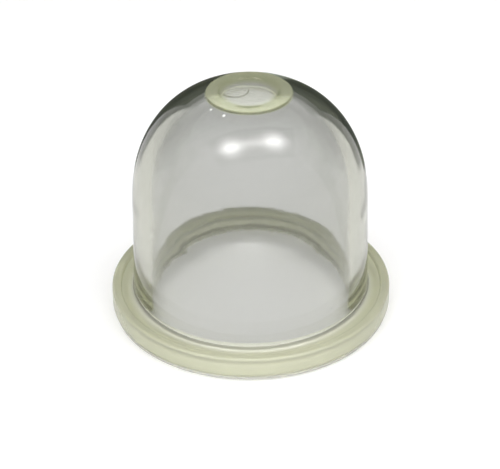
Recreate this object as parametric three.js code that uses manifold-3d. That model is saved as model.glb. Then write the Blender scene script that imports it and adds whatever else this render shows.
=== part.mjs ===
// Primer bulb: a clear flexible dome on a round clamping flange, moulded in one piece.
// Millimetres, +Z up. The origin is the centre of the plane that the foot ring stands on.

import * as THREE from 'three';
import { mergeVertices } from 'three/addons/utils/BufferGeometryUtils.js';
import Module from 'manifold-3d';

const wasm = await Module();
wasm.setup();

// Dome and wall
const domeDiameter = 18.7;
const wallDraft = 0.15;
const wallHeight = 7.4;
const crownHeight = 10.0;
const crownFullness = 2.32;
const wallThickness = 1.4;
const crownThickness = 1.1;

// Flange: a fillet round the wall, a flat seat for the retainer plate and a raised rim
const filletRadius = 0.6;
const seatWidth = 0.4;
const rimWidth = 0.75;
const rimHeight = 0.3;
const rimRounding = 0.22;
const flangeThickness = 1.2;

// Foot ring that seals on the pump body, with a neck above its outer lip.
// Inside it, the underside has a deeper recess round the mouth.
const footHeight = 0.5;
const footInset = 0.15;
const footWidth = 0.75;
const footLipHeight = 0.28;
const footNeckInset = 0.2;
const footRounding = 0.12;
const recessHeight = 1.1;
const mouthRounding = 0.3;

// Pad on the crown, with a dished sink and the off-centre mark of the mould's gate
const padDiameter = 6.6;
const padHeight = 0.2;
const padRounding = 0.12;
const sinkDiameter = 4.66;
const sinkDepth = 0.24;
const sinkFloorDiameter = 3.0;
const gateDiameter = 2.2;
const gateHeight = 0.06;
const gateOffsetX = -1.08;
const gateOffsetY = 0.55;

// Fineness of the faceted surface
const turnSegments = 72;
const gateSegments = 32;
const crownSteps = 16;
const filletSteps = 5;
const sinkSteps = 4;
const roundingSteps = 3;
const sharedVertexDistance = 1e-5;

// Levels and radii worked out from the dimensions
const undersideZ = footHeight;
const seatZ = undersideZ + flangeThickness;
const rimTopZ = seatZ + rimHeight;
const shoulderZ = seatZ + wallHeight;

const wallRadius = domeDiameter / 2;
const shoulderRadius = wallRadius - wallDraft;
const seatInnerRadius = wallRadius + filletRadius;
const rimInnerRadius = seatInnerRadius + seatWidth;
const flangeRadius = rimInnerRadius + rimWidth;
const footRadius = flangeRadius - footInset;
const footInnerRadius = footRadius - footWidth;
const footNeckRadius = footRadius - footNeckInset;
const boreRadius = wallRadius - wallThickness;
const boreShoulderRadius = shoulderRadius - wallThickness;
const padRadius = padDiameter / 2;
const sinkRadius = sinkDiameter / 2;
const sinkFloorRadius = sinkFloorDiameter / 2;

// Points on an arc, angles in degrees, measured from the radius axis towards +Z.
function arc( centreR, centreZ, radius, startDegrees, endDegrees, steps ) {

	const points = [];
	for ( let i = 0; i <= steps; i ++ ) {

		const angle = THREE.MathUtils.degToRad( THREE.MathUtils.lerp( startDegrees, endDegrees, i / steps ) );
		const along = radius * Math.cos( angle );
		const up = radius * Math.sin( angle );
		points.push( new THREE.Vector2( centreR + along, centreZ + up ) );

	}

	return points;

}

// Height of a crown above its shoulder: a superellipse, a little fuller than a true ellipse.
function crownRise( radius, shoulder, height ) {

	return height * ( 1 - ( radius / shoulder ) ** crownFullness ) ** ( 1 / crownFullness );

}

// Crown curve from its shoulder in to the radius where it stops, evenly turned.
function crown( shoulder, height, stopRadius ) {

	const power = 2 / crownFullness;
	const endAngle = Math.acos( ( stopRadius / shoulder ) ** ( 1 / power ) );
	const points = [];
	for ( let i = 0; i < crownSteps; i ++ ) {

		const angle = endAngle * i / crownSteps;
		const radius = shoulder * Math.cos( angle ) ** power;
		const rise = height * Math.sin( angle ) ** power;
		points.push( new THREE.Vector2( radius, shoulderZ + rise ) );

	}

	points.push( new THREE.Vector2( stopRadius, shoulderZ + crownRise( stopRadius, shoulder, height ) ) );
	return points;

}

// Foot ring and the outside of the flange, from the foot's inner edge up to the flat seat.
function flangeOutline() {

	const footRound = Math.min( footRounding, footLipHeight / 3, footWidth / 3 );
	const rimRound = Math.min( rimRounding, rimHeight, rimWidth / 3 );
	return [
		new THREE.Vector2( footInnerRadius, recessHeight ),
		...arc( footInnerRadius + footRound, footRound, footRound, 180, 270, roundingSteps ),
		...arc( footRadius - footRound, footRound, footRound, - 90, 0, roundingSteps ),
		...arc( footRadius - footRound, footLipHeight - footRound, footRound, 0, 90, roundingSteps ),
		new THREE.Vector2( footNeckRadius, footLipHeight ),
		new THREE.Vector2( footNeckRadius, undersideZ ),
		new THREE.Vector2( flangeRadius, undersideZ ),
		...arc( flangeRadius - rimRound, rimTopZ - rimRound, rimRound, 0, 90, roundingSteps ),
		...arc( rimInnerRadius + rimRound, rimTopZ - rimRound, rimRound, 90, 180, roundingSteps ),
		new THREE.Vector2( rimInnerRadius, seatZ )
	];

}

// Fillet, wall and crown on the outside, in to the edge of the pad.
function domeOutline() {

	return [
		...arc( seatInnerRadius, seatZ + filletRadius, filletRadius, 270, 180, filletSteps ),
		...crown( shoulderRadius, crownHeight, padRadius )
	];

}

// Pad on the crown: its low side, its rounded edge, and the dished side and flat floor of the sink.
function padOutline() {

	const padTopZ = padLevel();
	const floorZ = sinkFloorLevel();
	const round = Math.min( padRounding, padHeight / 2 );
	return [
		...arc( padRadius - round, padTopZ - round, round, 0, 90, roundingSteps ),
		...sinkSide(),
		new THREE.Vector2( 0, floorZ )
	];

}

// Dished side of the sink: a quarter of an ellipse, steep at the pad's face and level at the floor.
function sinkSide() {

	const run = sinkRadius - sinkFloorRadius;
	const edgeZ = padLevel();
	return arc( 0, 0, 1, 0, - 90, sinkSteps ).map(
		( point ) => new THREE.Vector2( sinkFloorRadius + run * point.x, edgeZ + sinkDepth * point.y )
	);

}

function padLevel() {

	return shoulderZ + crownRise( padRadius, shoulderRadius, crownHeight ) + padHeight;

}

function sinkFloorLevel() {

	return padLevel() - sinkDepth;

}

// Inside of the dome, from the axis down to the rounded mouth edge.
function boreOutline() {

	const insideCrown = crown( boreShoulderRadius, crownHeight - crownThickness, 0 ).reverse();
	const mouthRound = Math.min( mouthRounding, ( seatZ - recessHeight ) / 2 );
	return [
		...insideCrown,
		...arc( boreRadius + mouthRound, recessHeight + mouthRound, mouthRound, 180, 270, roundingSteps )
	];

}

// Section of the whole moulding, from the axis inside the crown round the mouth to the axis on the pad.
function bulbSection() {

	return [ ...boreOutline(), ...flangeOutline(), ...domeOutline(), ...padOutline() ];

}

// Revolves an outline about +Z.
function revolve( outline, segments ) {

	return new THREE.LatheGeometry( outline, segments ).rotateX( Math.PI / 2 );

}

// Low round mark on the floor of the sink; its root lies inside the floor.
function gateMark() {

	const radius = gateDiameter / 2;
	const root = Math.min( sinkDepth, crownThickness ) / 2;
	const outline = [
		new THREE.Vector2( 0, - root ),
		new THREE.Vector2( radius, - root ),
		new THREE.Vector2( radius, gateHeight / 2 ),
		new THREE.Vector2( radius - gateHeight / 2, gateHeight ),
		new THREE.Vector2( 0, gateHeight )
	];
	return revolve( outline, gateSegments ).translate( gateOffsetX, gateOffsetY, sinkFloorLevel() );

}

// Closed mesh to solid, with shared vertices merged.
function toSolid( geometry ) {

	const bare = geometry.clone();
	bare.deleteAttribute( 'normal' );
	bare.deleteAttribute( 'uv' );
	const merged = mergeVertices( bare, sharedVertexDistance );
	return new wasm.Manifold( new wasm.Mesh( {
		numProp: 3,
		vertProperties: new Float32Array( merged.attributes.position.array ),
		triVerts: new Uint32Array( merged.index.array )
	} ) );

}

function toGeometry( solid ) {

	const mesh = solid.getMesh();
	const geometry = new THREE.BufferGeometry();
	geometry.setAttribute( 'position', new THREE.BufferAttribute( mesh.vertProperties, 3 ) );
	geometry.setIndex( new THREE.BufferAttribute( mesh.triVerts, 1 ) );
	geometry.computeVertexNormals();
	return geometry;

}

// Clear flexible plastic with a pale yellow-green tint
const clearPlastic = new THREE.MeshStandardMaterial( {
	color: 0xd6dac2,
	roughness: 0.12,
	metalness: 0,
	transparent: true,
	opacity: 0.4
} );

function makeBulb() {

	const moulding = toSolid( revolve( bulbSection(), turnSegments ) );
	const mesh = new THREE.Mesh( toGeometry( moulding.add( toSolid( gateMark() ) ) ), clearPlastic );
	mesh.name = 'bulb';
	return mesh;

}

const group = new THREE.Group();
group.add( makeBulb() );

export default group;
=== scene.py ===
"""Looks of the primer bulb: one clear moulding with a fine revolved surface and a tinted plastic."""

import math

import bmesh
import bpy
from mathutils import Matrix, Quaternion, Vector, noise


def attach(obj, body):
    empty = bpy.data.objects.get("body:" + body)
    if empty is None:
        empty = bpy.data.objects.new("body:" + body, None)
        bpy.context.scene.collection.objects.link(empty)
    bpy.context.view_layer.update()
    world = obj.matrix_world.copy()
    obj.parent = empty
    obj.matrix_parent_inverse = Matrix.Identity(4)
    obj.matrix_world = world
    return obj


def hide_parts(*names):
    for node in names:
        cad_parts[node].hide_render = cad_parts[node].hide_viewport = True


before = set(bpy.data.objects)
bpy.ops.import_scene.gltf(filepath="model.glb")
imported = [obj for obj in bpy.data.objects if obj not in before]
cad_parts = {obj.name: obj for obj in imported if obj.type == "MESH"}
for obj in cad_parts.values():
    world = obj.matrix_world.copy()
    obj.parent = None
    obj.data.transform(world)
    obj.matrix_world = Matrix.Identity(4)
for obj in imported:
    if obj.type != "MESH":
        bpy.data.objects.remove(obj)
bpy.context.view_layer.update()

MM = 0.001

# Sizes of the moulding in millimetres, as in the part's source
DOME_RADIUS = 9.35
WALL_DRAFT = 0.15
WALL_HEIGHT = 7.4
CROWN_HEIGHT = 10.0
CROWN_FULLNESS = 2.32
WALL_THICKNESS = 1.4
CROWN_THICKNESS = 1.1
FILLET_RADIUS = 0.6
SEAT_WIDTH = 0.4
RIM_WIDTH = 0.75
RIM_HEIGHT = 0.3
RIM_ROUNDING = 0.22
FLANGE_THICKNESS = 1.2
FOOT_HEIGHT = 0.5
FOOT_INSET = 0.15
FOOT_WIDTH = 0.75
FOOT_LIP_HEIGHT = 0.28
FOOT_NECK_INSET = 0.2
FOOT_ROUNDING = 0.09
RECESS_HEIGHT = 1.1
MOUTH_ROUNDING = 0.3
PAD_RADIUS = 3.3
PAD_HEIGHT = 0.2
PAD_ROUNDING = 0.12
SINK_RADIUS = 2.33
SINK_DEPTH = 0.24
SINK_FLOOR_RADIUS = 1.5
GATE_RADIUS = 1.1
GATE_HEIGHT = 0.06
GATE_CENTRE = (-1.08, 0.55)

# Levels and radii worked out from them
SEAT_Z = FOOT_HEIGHT + FLANGE_THICKNESS
RIM_TOP_Z = SEAT_Z + RIM_HEIGHT
SHOULDER_Z = SEAT_Z + WALL_HEIGHT
SHOULDER_RADIUS = DOME_RADIUS - WALL_DRAFT
SEAT_INNER_RADIUS = DOME_RADIUS + FILLET_RADIUS
RIM_INNER_RADIUS = SEAT_INNER_RADIUS + SEAT_WIDTH
FLANGE_RADIUS = RIM_INNER_RADIUS + RIM_WIDTH
FOOT_RADIUS = FLANGE_RADIUS - FOOT_INSET
FOOT_INNER_RADIUS = FOOT_RADIUS - FOOT_WIDTH
FOOT_NECK_RADIUS = FOOT_RADIUS - FOOT_NECK_INSET
BORE_RADIUS = DOME_RADIUS - WALL_THICKNESS
BORE_SHOULDER_RADIUS = SHOULDER_RADIUS - WALL_THICKNESS

# Fineness of the surface: steps, then lengths in millimetres and an angle in degrees
TURN_SEGMENTS = 256
CROWN_STEPS = 56
WALL_STEPS = 12
FLOOR_STEPS = 36
ROUND_STEPS = 6
BEVEL_STEPS = 3
EDGE_BEVEL = 0.03
AXIS_RADIUS = 1e-6
LEVEL_TOLERANCE = 0.001
SHARP_ANGLE = 50

# Camera, fitted to the photograph's frame of 500 by 469
PHOTO_WIDTH = 500
CAMERA_TILT = 32.39
CAMERA_DISTANCE = 145.0
CAMERA_AIM = (-0.03, 0.0, 6.12)
CAMERA_ROLL = 0.56
CAMERA_NEAR = 1.0
FOCAL_PIXELS = 1835.0
SENSOR_WIDTH = 36.0

# Clear plastic: colours, and what the light meets inside it
DOME_COLOUR = (0.86, 0.862, 0.905, 1)
FLANGE_COLOUR = (0.86, 0.87, 0.68, 1)
PAD_COLOUR = (0.80, 0.84, 0.52, 1)
# Painted highlight: the foot's lip is painted near white, standing in for the bright edge it shows
LIP_HIGHLIGHT_COLOUR = (1.0, 1.0, 0.97, 1)
# Painted highlight: near white for the glints on two crumbs of flash
GLINT_COLOUR = (0.97, 0.97, 0.95, 1)
SPECK_COLOUR = (0.06, 0.06, 0.05, 1)
ABSORPTION_COLOUR = (0.60, 0.61, 0.46, 1)
ABSORPTION_DENSITY = 320.0
PLASTIC_IOR = 1.5

# Values on the clear dome first, then on the milky, satin flange; the pad lies between by its shares
TRANSMISSION = (1.0, 0.66)
ROUGHNESS = (0.04, 0.27)
GRAIN_SHARE = (0.15, 1.0)
PAD_MILK = 0.72
PAD_SATIN = 0.25
PAD_TINT = 1.0
SINK_TINT = 0.4

# Heights and radii over which one look fades into the next; the pad's height is from its level
FLANGE_TOP_FADE = (SEAT_Z + 0.54, SEAT_Z + 0.62)
FLANGE_INNER_FADE = (DOME_RADIUS - 0.4, DOME_RADIUS + 0.3)
# Painted highlight: the near white of the foot's lip fades in below the lip's height
LIP_HIGHLIGHT_FADE = (FOOT_LIP_HEIGHT - 0.02, FOOT_LIP_HEIGHT + 0.04)
PAD_EDGE_FADE = (PAD_RADIUS - 0.05, PAD_RADIUS + 0.15)
PAD_FOOT_FADE = (-0.35, -0.25)

# Waviness of the moulding and fine grain: noise scale per metre, noise detail, and height in mm
WAVE = (350.0, 2.0)
WAVE_HEIGHT = 0.02
GRAIN = (6000.0, 3.0)
GRAIN_HEIGHT = 0.012

# Gate mark: its soft edge from the mark's radius, and the roughness of its face
GATE_EDGE = (-0.08, 0.02)
GATE_GRAIN_SCALE = 4000
GATE_GRAIN_HEIGHT = 0.012

# Two white spots at the pad's edge, painted highlights that stand in for the glints on two crumbs of flash,
# and one dark speck in the wall: place and radius in mm
FLASH_GLINT_SPOTS = (((-2.84, -2.26, 18.58), 0.13), ((-1.87, -3.18, 18.56), 0.16))
DARK_SPECK = ((6.1, -7.0, 3.8), 0.06)
MARK_CORE = 0.6
MARK_OPACITY = 0.85

# Corners of a flat face of the studio, in half widths from its middle
SHEET_CORNERS = ((-1, -1), (1, -1), (1, 1), (-1, 1))

# Painted shadow behind the bulb: a dark sheet that stands in for the bulb's own shadow on the floor and
# shows only in the clear plastic. Sizes in millimetres; its stops are place from left to right, tone and
# opacity
CARD_DISTANCE = 20.0
CARD_LEFT = -45.0
CARD_RIGHT = 45.0
CARD_HEIGHT = 26.0
SHADOW_CARD_STOPS = (
    (-16.5, 0.13, 0.0), (-15.5, 0.13, 1.0), (-2.0, 0.13, 1.0), (0.0, 0.42, 1.0),
    (4.5, 0.42, 1.0), (5.5, 0.13, 1.0), (19.0, 0.14, 1.0), (20.5, 0.14, 0.0),
)
SHADOW_CARD_TINT = (1.0, 1.1, 0.92)
CARD_FOOT = (0.5, 2.5)

# Light paths that see the painted shadow's dark tones: up to three turns, and none off a matt surface
SHORT_PATH = 3.5
DIRECT_PATH = 0.5

# Grey veil of painted shade on the sheet for longer light paths: over its height, and in a stripe at each
# side
SHADOW_VEIL_COLOUR = (0.30, 0.31, 0.29, 1)
VEIL_OPACITY = 0.45
VEIL_RISE = (2.0, 10.0)
STRIPE_OPACITY = 0.16
STRIPE_RISE = (9.0, 12.0)
STRIPE_FALL = (22.0, 28.0)

# Soft light over the bulb: two lobes, seen from the middle of the crown, joined by a faint band
LEFT_LOBE = (-0.31, -0.28, 0.94)
RIGHT_LOBE = (0.378, -0.12, 0.93)
LIGHT_DISTANCE = 160.0
LIGHT_HALF_LENGTH = 110.0
LIGHT_HALF_WIDTH = 55.0
LIGHT_COLOUR = (1.0, 0.985, 0.99, 1)
LOBE_SPREAD = 19.0
LOBE_STRENGTH = 9.0
BAND_STRENGTH = 3.0
HALO_SPREAD = 45.0
HALO_STRENGTH = 0.7

# Small lamp low in front of the flange, in millimetres
FRONT_LAMP_PLACE = (0.0, -40.0, 6.0)
FRONT_LAMP_TARGET = (0.0, -11.0, 1.0)
FRONT_LAMP_SIZE = (14.0, 8.0)
FRONT_LAMP_RADIANCE = 15.0

# World, and the floor with its lift to white
WORLD_STRENGTH = 0.74
FLOOR_TONE = 0.76
FLOOR_LIFT = 0.28
FLOOR_SIZE = 4000.0
FLOOR_DROP = 0.02


def arc(centre_r, centre_z, radius, start, end, steps):
    """Points on an arc, angles in degrees from the radius axis towards +Z."""
    points = []
    for i in range(steps + 1):
        angle = math.radians(start + (end - start) * i / steps)
        along = radius * math.cos(angle)
        up = radius * math.sin(angle)
        points.append((centre_r + along, centre_z + up))
    return points


def line(start, end, steps):
    """Points evenly spaced between two ends, without the ends."""
    points = []
    for i in range(1, steps):
        share = i / steps
        points.append((start[0] + (end[0] - start[0]) * share, start[1] + (end[1] - start[1]) * share))
    return points


def crown_rise(radius, shoulder, height):
    """Height of a crown above its shoulder: a superellipse, a little fuller than a true ellipse."""
    return height * (1 - (radius / shoulder) ** CROWN_FULLNESS) ** (1 / CROWN_FULLNESS)


def crown(shoulder, height, stop_radius):
    """Crown curve from its shoulder in to the radius where it stops, evenly turned."""
    power = 2 / CROWN_FULLNESS
    end_angle = math.acos((stop_radius / shoulder) ** (1 / power))
    points = []
    for i in range(CROWN_STEPS):
        angle = end_angle * i / CROWN_STEPS
        radius = shoulder * math.cos(angle) ** power
        rise = height * math.sin(angle) ** power
        points.append((radius, SHOULDER_Z + rise))
    points.append((stop_radius, SHOULDER_Z + crown_rise(stop_radius, shoulder, height)))
    return points


def pad_level():
    """Height of the pad's face."""
    return SHOULDER_Z + crown_rise(PAD_RADIUS, SHOULDER_RADIUS, CROWN_HEIGHT) + PAD_HEIGHT


def sink_floor_level():
    """Height of the flat floor in the pad's sink."""
    return pad_level() - SINK_DEPTH


def bore_outline():
    """Inside of the dome, from the axis down to the rounded mouth edge."""
    inside = crown(BORE_SHOULDER_RADIUS, CROWN_HEIGHT - CROWN_THICKNESS, 0.0)[::-1]
    rounding = MOUTH_ROUNDING
    mouth = arc(BORE_RADIUS + rounding, RECESS_HEIGHT + rounding, rounding, 180, 270, ROUND_STEPS)
    return inside + line(inside[-1], mouth[0], WALL_STEPS) + mouth


def flange_outline():
    """Foot ring and the outside of the flange, up to the flat seat."""
    foot = FOOT_ROUNDING
    rim = RIM_ROUNDING
    bevel = EDGE_BEVEL
    return [
        (FOOT_INNER_RADIUS - bevel, RECESS_HEIGHT),
        (FOOT_INNER_RADIUS, RECESS_HEIGHT - bevel),
        *arc(FOOT_INNER_RADIUS + foot, foot, foot, 180, 270, ROUND_STEPS),
        *arc(FOOT_RADIUS - foot, foot, foot, -90, 0, ROUND_STEPS),
        *arc(FOOT_RADIUS - foot, FOOT_LIP_HEIGHT - foot, foot, 0, 90, ROUND_STEPS),
        (FOOT_NECK_RADIUS + bevel, FOOT_LIP_HEIGHT),
        (FOOT_NECK_RADIUS, FOOT_LIP_HEIGHT + bevel),
        (FOOT_NECK_RADIUS, FOOT_HEIGHT - bevel),
        (FOOT_NECK_RADIUS + bevel, FOOT_HEIGHT),
        *arc(FLANGE_RADIUS - bevel, FOOT_HEIGHT + bevel, bevel, -90, 0, BEVEL_STEPS),
        *arc(FLANGE_RADIUS - rim, RIM_TOP_Z - rim, rim, 0, 90, ROUND_STEPS),
        *arc(RIM_INNER_RADIUS + rim, RIM_TOP_Z - rim, rim, 90, 180, ROUND_STEPS),
        (RIM_INNER_RADIUS, SEAT_Z + bevel),
        (RIM_INNER_RADIUS - bevel, SEAT_Z),
    ]


def dome_outline():
    """Fillet, wall and crown on the outside, in to the edge of the pad."""
    fillet = arc(SEAT_INNER_RADIUS, SEAT_Z + FILLET_RADIUS, FILLET_RADIUS, 270, 180, 2 * ROUND_STEPS)
    outside = crown(SHOULDER_RADIUS, CROWN_HEIGHT, PAD_RADIUS)
    return fillet + line(fillet[-1], outside[0], WALL_STEPS) + outside


def pad_outline():
    """Low pad on the crown and the sink in it, in to the axis."""
    top = pad_level()
    floor = sink_floor_level()
    rounding = min(PAD_ROUNDING, PAD_HEIGHT / 2)
    run = SINK_RADIUS - SINK_FLOOR_RADIUS
    side = [(SINK_FLOOR_RADIUS + run * along, top + SINK_DEPTH * down)
            for along, down in arc(0.0, 0.0, 1.0, 0, -90, 2 * ROUND_STEPS)]
    return [
        *arc(PAD_RADIUS - rounding, top - rounding, rounding, 0, 90, ROUND_STEPS),
        (SINK_RADIUS + EDGE_BEVEL, top),
        *side[1:],
        *line(side[-1], (0.0, floor), FLOOR_STEPS),
        (0.0, floor),
    ]


def make_ring(mesh_data, radius, height):
    """Vertices of one ring about +Z, or one vertex where the ring lies on the axis."""
    if radius < AXIS_RADIUS:
        return [mesh_data.verts.new((0, 0, height * MM))]
    ring = []
    for k in range(TURN_SEGMENTS):
        angle = 2 * math.pi * k / TURN_SEGMENTS
        x = radius * MM * math.cos(angle)
        y = radius * MM * math.sin(angle)
        ring.append(mesh_data.verts.new((x, y, height * MM)))
    return ring


def join_rings(mesh_data, lower, upper):
    """Faces between two rings, as a fan where one of them is a single vertex."""
    for k in range(TURN_SEGMENTS):
        after = (k + 1) % TURN_SEGMENTS
        if len(lower) == 1:
            corners = (lower[0], upper[after], upper[k])
        elif len(upper) == 1:
            corners = (lower[k], lower[after], upper[0])
        else:
            corners = (lower[k], lower[after], upper[after], upper[k])
        mesh_data.faces.new(corners)


def revolve(name, outline):
    """Closed surface of revolution about +Z from an outline that starts and ends on the axis."""
    mesh_data = bmesh.new()
    rings = [make_ring(mesh_data, radius, height) for radius, height in outline]
    for lower, upper in zip(rings, rings[1:]):
        join_rings(mesh_data, lower, upper)
    bmesh.ops.recalc_face_normals(mesh_data, faces=mesh_data.faces)
    mesh = bpy.data.meshes.new(name)
    mesh_data.to_mesh(mesh)
    mesh_data.free()
    piece = bpy.data.objects.new(name, mesh)
    bpy.context.collection.objects.link(piece)
    return piece


def smooth_step(low, high, value):
    """Share from 0 to 1 that rises smoothly while a value goes from low to high."""
    share = min(max((value - low) / (high - low), 0.0), 1.0)
    return share * share * (3 - 2 * share)


def raise_gate_mark(piece):
    """Low off-centre disc that the mould's gate leaves on the floor of the sink."""
    floor = sink_floor_level()
    mark_level = floor + GATE_HEIGHT
    for vertex in piece.data.vertices:
        x, y, level = vertex.co / MM
        if not floor - LEVEL_TOLERANCE < level < mark_level or math.hypot(x, y) > SINK_RADIUS:
            continue
        distance = math.hypot(x - GATE_CENTRE[0], y - GATE_CENTRE[1])
        lift = 1 - smooth_step(GATE_RADIUS + GATE_EDGE[0], GATE_RADIUS + GATE_EDGE[1], distance)
        flat_place = Vector((vertex.co.x, vertex.co.y, 0))
        grain = GATE_GRAIN_HEIGHT * noise.noise(flat_place * GATE_GRAIN_SCALE)
        vertex.co.z += (mark_level - level + grain) * lift * MM


def make_bulb():
    """The moulding, revolved and marked, which takes the place of the CAD bulb."""
    outline = bore_outline() + flange_outline() + dome_outline() + pad_outline()
    piece = revolve("bulb_moulding", outline)
    raise_gate_mark(piece)
    for polygon in piece.data.polygons:
        polygon.use_smooth = True
    piece.data.set_sharp_from_angle(angle=math.radians(SHARP_ANGLE))
    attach(piece, "root")
    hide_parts("bulb")
    return piece


class Shading:
    """A new material's nodes, with a short call for each kind that repeats."""

    def __init__(self, name):
        self.material = bpy.data.materials.new(name)
        self.material.use_nodes = True
        self.nodes = self.material.node_tree.nodes
        self.links = self.material.node_tree.links
        self.nodes.clear()
        self.output = self.nodes.new("ShaderNodeOutputMaterial")

    def feed(self, socket, value):
        """Link a socket to another one, or set it to a plain value."""
        if isinstance(value, bpy.types.NodeSocket):
            self.links.new(value, socket)
        else:
            socket.default_value = value

    def show(self, shader):
        """Let the material's surface be this shader."""
        self.links.new(shader.outputs[0], self.output.inputs["Surface"])

    def place(self):
        """The object's own coordinates."""
        return self.nodes.new("ShaderNodeTexCoord").outputs["Object"]

    def split(self, vector):
        """A vector's parts, to be named X, Y and Z."""
        node = self.nodes.new("ShaderNodeSeparateXYZ")
        self.links.new(vector, node.inputs[0])
        return node.outputs

    def math(self, operation, first, second=None, clamp=False):
        """One sum on numbers or sockets."""
        node = self.nodes.new("ShaderNodeMath")
        node.operation = operation
        node.use_clamp = clamp
        self.feed(node.inputs[0], first)
        if second is not None:
            self.feed(node.inputs[1], second)
        return node.outputs[0]

    def product(self, *factors):
        """All the factors multiplied."""
        result = factors[0]
        for factor in factors[1:]:
            result = self.math("MULTIPLY", result, factor)
        return result

    def total(self, *terms):
        """All the terms added up."""
        result = terms[0]
        for term in terms[1:]:
            result = self.math("ADD", result, term)
        return result

    def fade(self, value, span, ends, unit=MM, shape="SMOOTHSTEP"):
        """A number that goes from the first end to the second while the value passes the span."""
        node = self.nodes.new("ShaderNodeMapRange")
        node.interpolation_type = shape
        self.links.new(value, node.inputs["Value"])
        node.inputs["From Min"].default_value = span[0] * unit
        node.inputs["From Max"].default_value = span[1] * unit
        node.inputs["To Min"].default_value = ends[0]
        node.inputs["To Max"].default_value = ends[1]
        return node.outputs["Result"]

    def between(self, share, ends):
        """A number between two ends by a share from 0 to 1."""
        return self.fade(share, (0.0, 1.0), ends, unit=1.0)

    def mix(self, factor, first, second):
        """A colour between two others."""
        node = self.nodes.new("ShaderNodeMix")
        node.data_type = "RGBA"
        self.feed(node.inputs["Factor"], factor)
        self.feed(node.inputs["A"], first)
        self.feed(node.inputs["B"], second)
        return node.outputs["Result"]

    def spot(self, place, centre, size):
        """Mask of a small round mark, soft at its edge."""
        node = self.nodes.new("ShaderNodeVectorMath")
        node.operation = "DISTANCE"
        self.links.new(place, node.inputs[0])
        node.inputs[1].default_value = [value * MM for value in centre]
        return self.fade(node.outputs["Value"], (size * MARK_CORE, size), (1.0, 0.0))

    def noise(self, place, scale, detail):
        """Soft noise from 0 to 1."""
        node = self.nodes.new("ShaderNodeTexNoise")
        node.inputs["Scale"].default_value = scale
        node.inputs["Detail"].default_value = detail
        self.links.new(place, node.inputs["Vector"])
        return node.outputs["Fac"]

    def bump(self, height, distance, normal=None):
        """A surface roughened by a height, over another bump where one is given."""
        node = self.nodes.new("ShaderNodeBump")
        node.inputs["Distance"].default_value = distance
        self.links.new(height, node.inputs["Height"])
        if normal is not None:
            self.links.new(normal, node.inputs["Normal"])
        return node.outputs["Normal"]

    def bell(self, x, y, centre, x_spread, y_spread):
        """Soft spot: a bell curve across two coordinates."""
        u = self.math("DIVIDE", self.math("SUBTRACT", x, centre), x_spread)
        v = self.math("DIVIDE", y, y_spread)
        return self.math("EXPONENT", self.product(self.total(self.product(u, u), self.product(v, v)), -0.5))


def make_plastic():
    """Clear pale plastic: glossy and see-through on the dome, satin and milky on the flange and the pad."""
    shading = Shading("clear_plastic")
    place = shading.place()
    x, y, z = shading.split(place)
    radius = shading.math("SQRT", shading.total(shading.product(x, x), shading.product(y, y)))
    flange = shading.product(shading.fade(z, FLANGE_TOP_FADE, (1.0, 0.0)),
                             shading.fade(radius, FLANGE_INNER_FADE, (0.0, 1.0)))
    pad_foot = [pad_level() + step for step in PAD_FOOT_FADE]
    pad = shading.product(shading.fade(z, pad_foot, (0.0, 1.0)),
                          shading.fade(radius, PAD_EDGE_FADE, (1.0, 0.0)))
    milky = shading.math("MAXIMUM", flange, shading.product(pad, PAD_MILK))
    satin = shading.math("MAXIMUM", flange, shading.product(pad, PAD_SATIN))
    # Painted highlights: white spots for the glints on two crumbs of flash at the pad's edge
    white = shading.total(*[shading.spot(place, *glint) for glint in FLASH_GLINT_SPOTS])
    dark = shading.spot(place, *DARK_SPECK)

    shader = shading.nodes.new("ShaderNodeBsdfPrincipled")
    shader.inputs["IOR"].default_value = PLASTIC_IOR
    # This colour carries the painted highlight along the foot's lip
    colour = colour_with_lip_highlight(shading, flange, pad, radius, z)
    marked = shading.mix(dark, shading.mix(white, colour, GLINT_COLOUR), SPECK_COLOUR)
    shading.feed(shader.inputs["Base Color"], marked)
    marks = shading.math("ADD", white, dark, clamp=True)
    see_through = shading.math("SUBTRACT", 1.0, shading.product(marks, MARK_OPACITY))
    clearness = shading.product(shading.between(milky, TRANSMISSION), see_through)
    shading.feed(shader.inputs["Transmission Weight"], clearness)
    shading.feed(shader.inputs["Roughness"], shading.between(satin, ROUGHNESS))
    shading.feed(shader.inputs["Normal"], moulded_surface(shading, place, milky))
    shading.show(shader)

    absorption = shading.nodes.new("ShaderNodeVolumeAbsorption")
    absorption.inputs["Color"].default_value = ABSORPTION_COLOUR
    absorption.inputs["Density"].default_value = ABSORPTION_DENSITY
    shading.links.new(absorption.outputs[0], shading.output.inputs["Volume"])
    return shading.material


def colour_with_lip_highlight(shading, flange, pad, radius, z):
    """Colour of the plastic without its painted glints and dark speck: dome, flange, pad, and a painted
    highlight that makes the foot's lip near white.
    """
    colour = shading.mix(flange, DOME_COLOUR, FLANGE_COLOUR)
    pad_tint = shading.fade(radius, (SINK_FLOOR_RADIUS, SINK_RADIUS), (SINK_TINT, PAD_TINT))
    colour = shading.mix(shading.product(pad, pad_tint), colour, PAD_COLOUR)
    # Painted highlight: the foot below the lip's height is painted near white
    return shading.mix(shading.fade(z, LIP_HIGHLIGHT_FADE, (1.0, 0.0)), colour, LIP_HIGHLIGHT_COLOUR)


def moulded_surface(shading, place, milky):
    """Gentle waviness all over, under a grain that is stronger where the plastic is milky."""
    wave = shading.bump(shading.noise(place, *WAVE), WAVE_HEIGHT * MM)
    grain = shading.product(shading.noise(place, *GRAIN), shading.between(milky, GRAIN_SHARE))
    return shading.bump(grain, GRAIN_HEIGHT * MM, wave)


def make_sheet(name, corners, material):
    """One flat face of the studio from its corners in millimetres."""
    mesh = bpy.data.meshes.new(name)
    mesh.from_pydata([Vector(corner) * MM for corner in corners], [], [(0, 1, 2, 3)])
    sheet = bpy.data.objects.new(name, mesh)
    bpy.context.collection.objects.link(sheet)
    sheet.data.materials.append(material)
    return sheet


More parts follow.
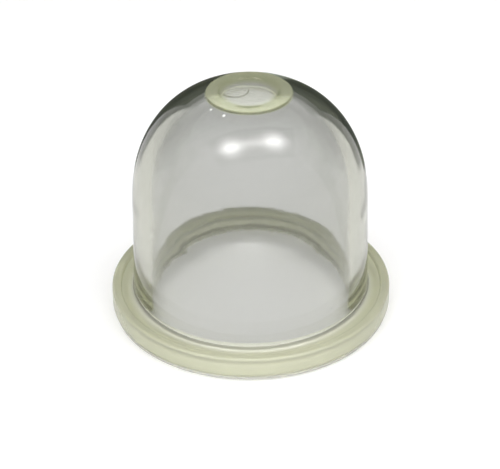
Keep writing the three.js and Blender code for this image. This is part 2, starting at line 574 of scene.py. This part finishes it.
def make_floor():
    """Plain pale floor, lifted to white for the camera, gloss and glass; its shadow stays."""
    shading = Shading("floor")
    diffuse = shading.nodes.new("ShaderNodeBsdfDiffuse")
    diffuse.inputs["Color"].default_value = (FLOOR_TONE, FLOOR_TONE, FLOOR_TONE, 1)
    path = shading.nodes.new("ShaderNodeLightPath")
    seen = shading.math("MAXIMUM", path.outputs["Is Camera Ray"], path.outputs["Is Glossy Ray"])
    seen = shading.math("MAXIMUM", seen, path.outputs["Is Transmission Ray"])
    lift = shading.nodes.new("ShaderNodeEmission")
    shading.feed(lift.inputs["Strength"], shading.product(seen, FLOOR_LIFT))
    both = shading.nodes.new("ShaderNodeAddShader")
    shading.links.new(diffuse.outputs[0], both.inputs[0])
    shading.links.new(lift.outputs[0], both.inputs[1])
    shading.show(both)

    half = FLOOR_SIZE / 2
    corners = [(u * half, v * half, -FLOOR_DROP) for u, v in SHEET_CORNERS]
    floor = make_sheet("floor", corners, shading.material)


def shadow_card_tones(shading, x):
    """Colour and opacity of the painted shadow across the sheet's width."""
    along = shading.fade(x, (CARD_LEFT, CARD_RIGHT), (0.0, 1.0), shape="LINEAR")
    ramp = shading.nodes.new("ShaderNodeValToRGB")
    shading.links.new(along, ramp.inputs[0])
    stops = ramp.color_ramp.elements
    while len(stops) < len(SHADOW_CARD_STOPS):
        stops.new(0.5)
    for stop, (place, tone, opacity) in zip(stops, SHADOW_CARD_STOPS):
        stop.position = (place - CARD_LEFT) / (CARD_RIGHT - CARD_LEFT)
        stop.color = (*[tone * tint for tint in SHADOW_CARD_TINT], opacity)
    return ramp.outputs["Color"], ramp.outputs["Alpha"]


def shadow_card_veil(shading, x, z, foot):
    """Opacity of the grey veil of painted shade: over the sheet's height, and more in a stripe at each
    side.
    """
    aside = shading.math("ABSOLUTE", x)
    stripe = shading.product(shading.fade(aside, STRIPE_RISE, (0.0, STRIPE_OPACITY)),
                             shading.fade(aside, STRIPE_FALL, (1.0, 0.0)), foot)
    return shading.total(shading.fade(z, VEIL_RISE, (0.0, VEIL_OPACITY)), stripe)


def make_shadow_card():
    """Painted shadow: a sheet, hidden from the camera, that is dark for short light paths in the clear
    plastic and a grey veil for longer ones.
    """
    shading = Shading("shadow_card")
    axes = shading.split(shading.place())
    x = axes["X"]
    z = axes["Z"]
    path = shading.nodes.new("ShaderNodeLightPath")
    short = shading.math("LESS_THAN", path.outputs["Ray Depth"], SHORT_PATH)
    longer = shading.math("SUBTRACT", 1.0, short)
    direct = shading.math("LESS_THAN", path.outputs["Diffuse Depth"], DIRECT_PATH)
    foot = shading.fade(z, CARD_FOOT, (0.0, 1.0))
    tone, tone_opacity = shadow_card_tones(shading, x)
    dark = shading.product(short, foot, tone_opacity)
    veil = shading.product(shadow_card_veil(shading, x, z, foot), longer)

    # The sheet glows in the dark tones of the painted shadow; it is no lamp
    glow = shading.nodes.new("ShaderNodeEmission")
    shading.feed(glow.inputs["Color"], shading.mix(short, SHADOW_VEIL_COLOUR, tone))
    clear = shading.nodes.new("ShaderNodeBsdfTransparent")
    both = shading.nodes.new("ShaderNodeMixShader")
    shading.feed(both.inputs[0], shading.product(direct, shading.total(dark, veil)))
    shading.links.new(clear.outputs[0], both.inputs[1])
    shading.links.new(glow.outputs[0], both.inputs[2])
    shading.show(both)

    back = CARD_DISTANCE
    low = [(CARD_LEFT, back, 0), (CARD_RIGHT, back, 0)]
    high = [(CARD_RIGHT, back, CARD_HEIGHT), (CARD_LEFT, back, CARD_HEIGHT)]
    shadow_card = make_sheet("shadow_card", low + high, shading.material)
    shadow_card.visible_camera = False
    shadow_card.visible_diffuse = False
    shadow_card.visible_shadow = False


def make_soft_light():
    """Soft light with two lobes, placed where the dome mirrors them into the camera."""
    crown_middle = Vector((0, 0, (SHOULDER_Z + CROWN_HEIGHT / 2) * MM))
    left = Vector(LEFT_LOBE).normalized() * LIGHT_DISTANCE * MM
    right = Vector(RIGHT_LOBE).normalized() * LIGHT_DISTANCE * MM
    middle = (left + right) / 2
    across = (right - left).normalized()
    facing = -middle.normalized()
    upward = facing.cross(across).normalized()
    half_gap = (right - left).length / 2

    shading = Shading("soft_light")
    axes = shading.split(shading.place())
    x = axes["X"]
    y = axes["Y"]
    spread = LOBE_SPREAD * MM
    halo_spread = HALO_SPREAD * MM
    lobes = shading.total(*[shading.bell(x, y, side * half_gap, spread, spread) for side in (-1, 1)])
    band = shading.bell(x, y, 0.0, half_gap, spread / 2)
    halo = shading.bell(x, y, 0.0, halo_spread, halo_spread / 2)
    glow = shading.nodes.new("ShaderNodeEmission")
    glow.inputs["Color"].default_value = LIGHT_COLOUR
    strength = shading.total(shading.product(lobes, LOBE_STRENGTH), shading.product(band, BAND_STRENGTH),
                             shading.product(halo, HALO_STRENGTH))
    shading.feed(glow.inputs["Strength"], strength)
    shading.show(glow)

    corners = [(u * LIGHT_HALF_LENGTH, v * LIGHT_HALF_WIDTH, 0) for u, v in SHEET_CORNERS]
    light = make_sheet("soft_light", corners, shading.material)
    turn = Matrix((across, upward, facing)).transposed().to_4x4()
    light.matrix_world = Matrix.Translation(crown_middle + middle) @ turn
    light.visible_camera = False


def make_front_lamp():
    """Small low lamp that brings up the front of the flange."""
    light = bpy.data.lights.new("front_lamp", "AREA")
    light.shape = "RECTANGLE"
    light.size = FRONT_LAMP_SIZE[0] * MM
    light.size_y = FRONT_LAMP_SIZE[1] * MM
    light.energy = FRONT_LAMP_RADIANCE * math.pi * light.size * light.size_y
    lamp = bpy.data.objects.new("front_lamp", light)
    bpy.context.collection.objects.link(lamp)
    lamp.location = Vector(FRONT_LAMP_PLACE) * MM
    aim = Vector(FRONT_LAMP_TARGET) - Vector(FRONT_LAMP_PLACE)
    lamp.rotation_euler = aim.to_track_quat("-Z", "Y").to_euler()
    lamp.visible_camera = False
    lamp.visible_glossy = False
    lamp.visible_transmission = False


def make_world():
    """Even white light from all round."""
    world = bpy.data.worlds.new("studio")
    bpy.context.scene.world = world
    world.use_nodes = True
    background = world.node_tree.nodes["Background"]
    background.inputs["Color"].default_value = (1, 1, 1, 1)
    background.inputs["Strength"].default_value = WORLD_STRENGTH


def make_camera():
    """Camera at the photograph's angle and distance."""
    camera = bpy.data.cameras.new("camera")
    camera.sensor_width = SENSOR_WIDTH
    camera.lens = FOCAL_PIXELS * SENSOR_WIDTH / PHOTO_WIDTH
    camera.clip_start = CAMERA_NEAR * MM
    holder = bpy.data.objects.new("camera", camera)
    bpy.context.collection.objects.link(holder)
    tilt = math.radians(CAMERA_TILT)
    back = Vector((0, -math.cos(tilt), math.sin(tilt)))
    holder.location = (Vector(CAMERA_AIM) + back * CAMERA_DISTANCE) * MM
    turn = (-back).to_track_quat("-Z", "Y")
    holder.rotation_mode = "QUATERNION"
    holder.rotation_quaternion = turn @ Quaternion((0, 0, 1), -math.radians(CAMERA_ROLL))
    bpy.context.scene.camera = holder


make_camera()
make_world()
make_floor()
# Painted shadow behind the bulb, seen only in the clear plastic
make_shadow_card()
make_soft_light()
make_front_lamp()
bulb = make_bulb()
bulb.data.materials.append(make_plastic())

scene = bpy.context.scene
scene.view_settings.view_transform = "Standard"
scene.cycles.max_bounces = 32
scene.cycles.transmission_bounces = 28
scene.cycles.glossy_bounces = 12
scene.cycles.blur_glossy = 0.0
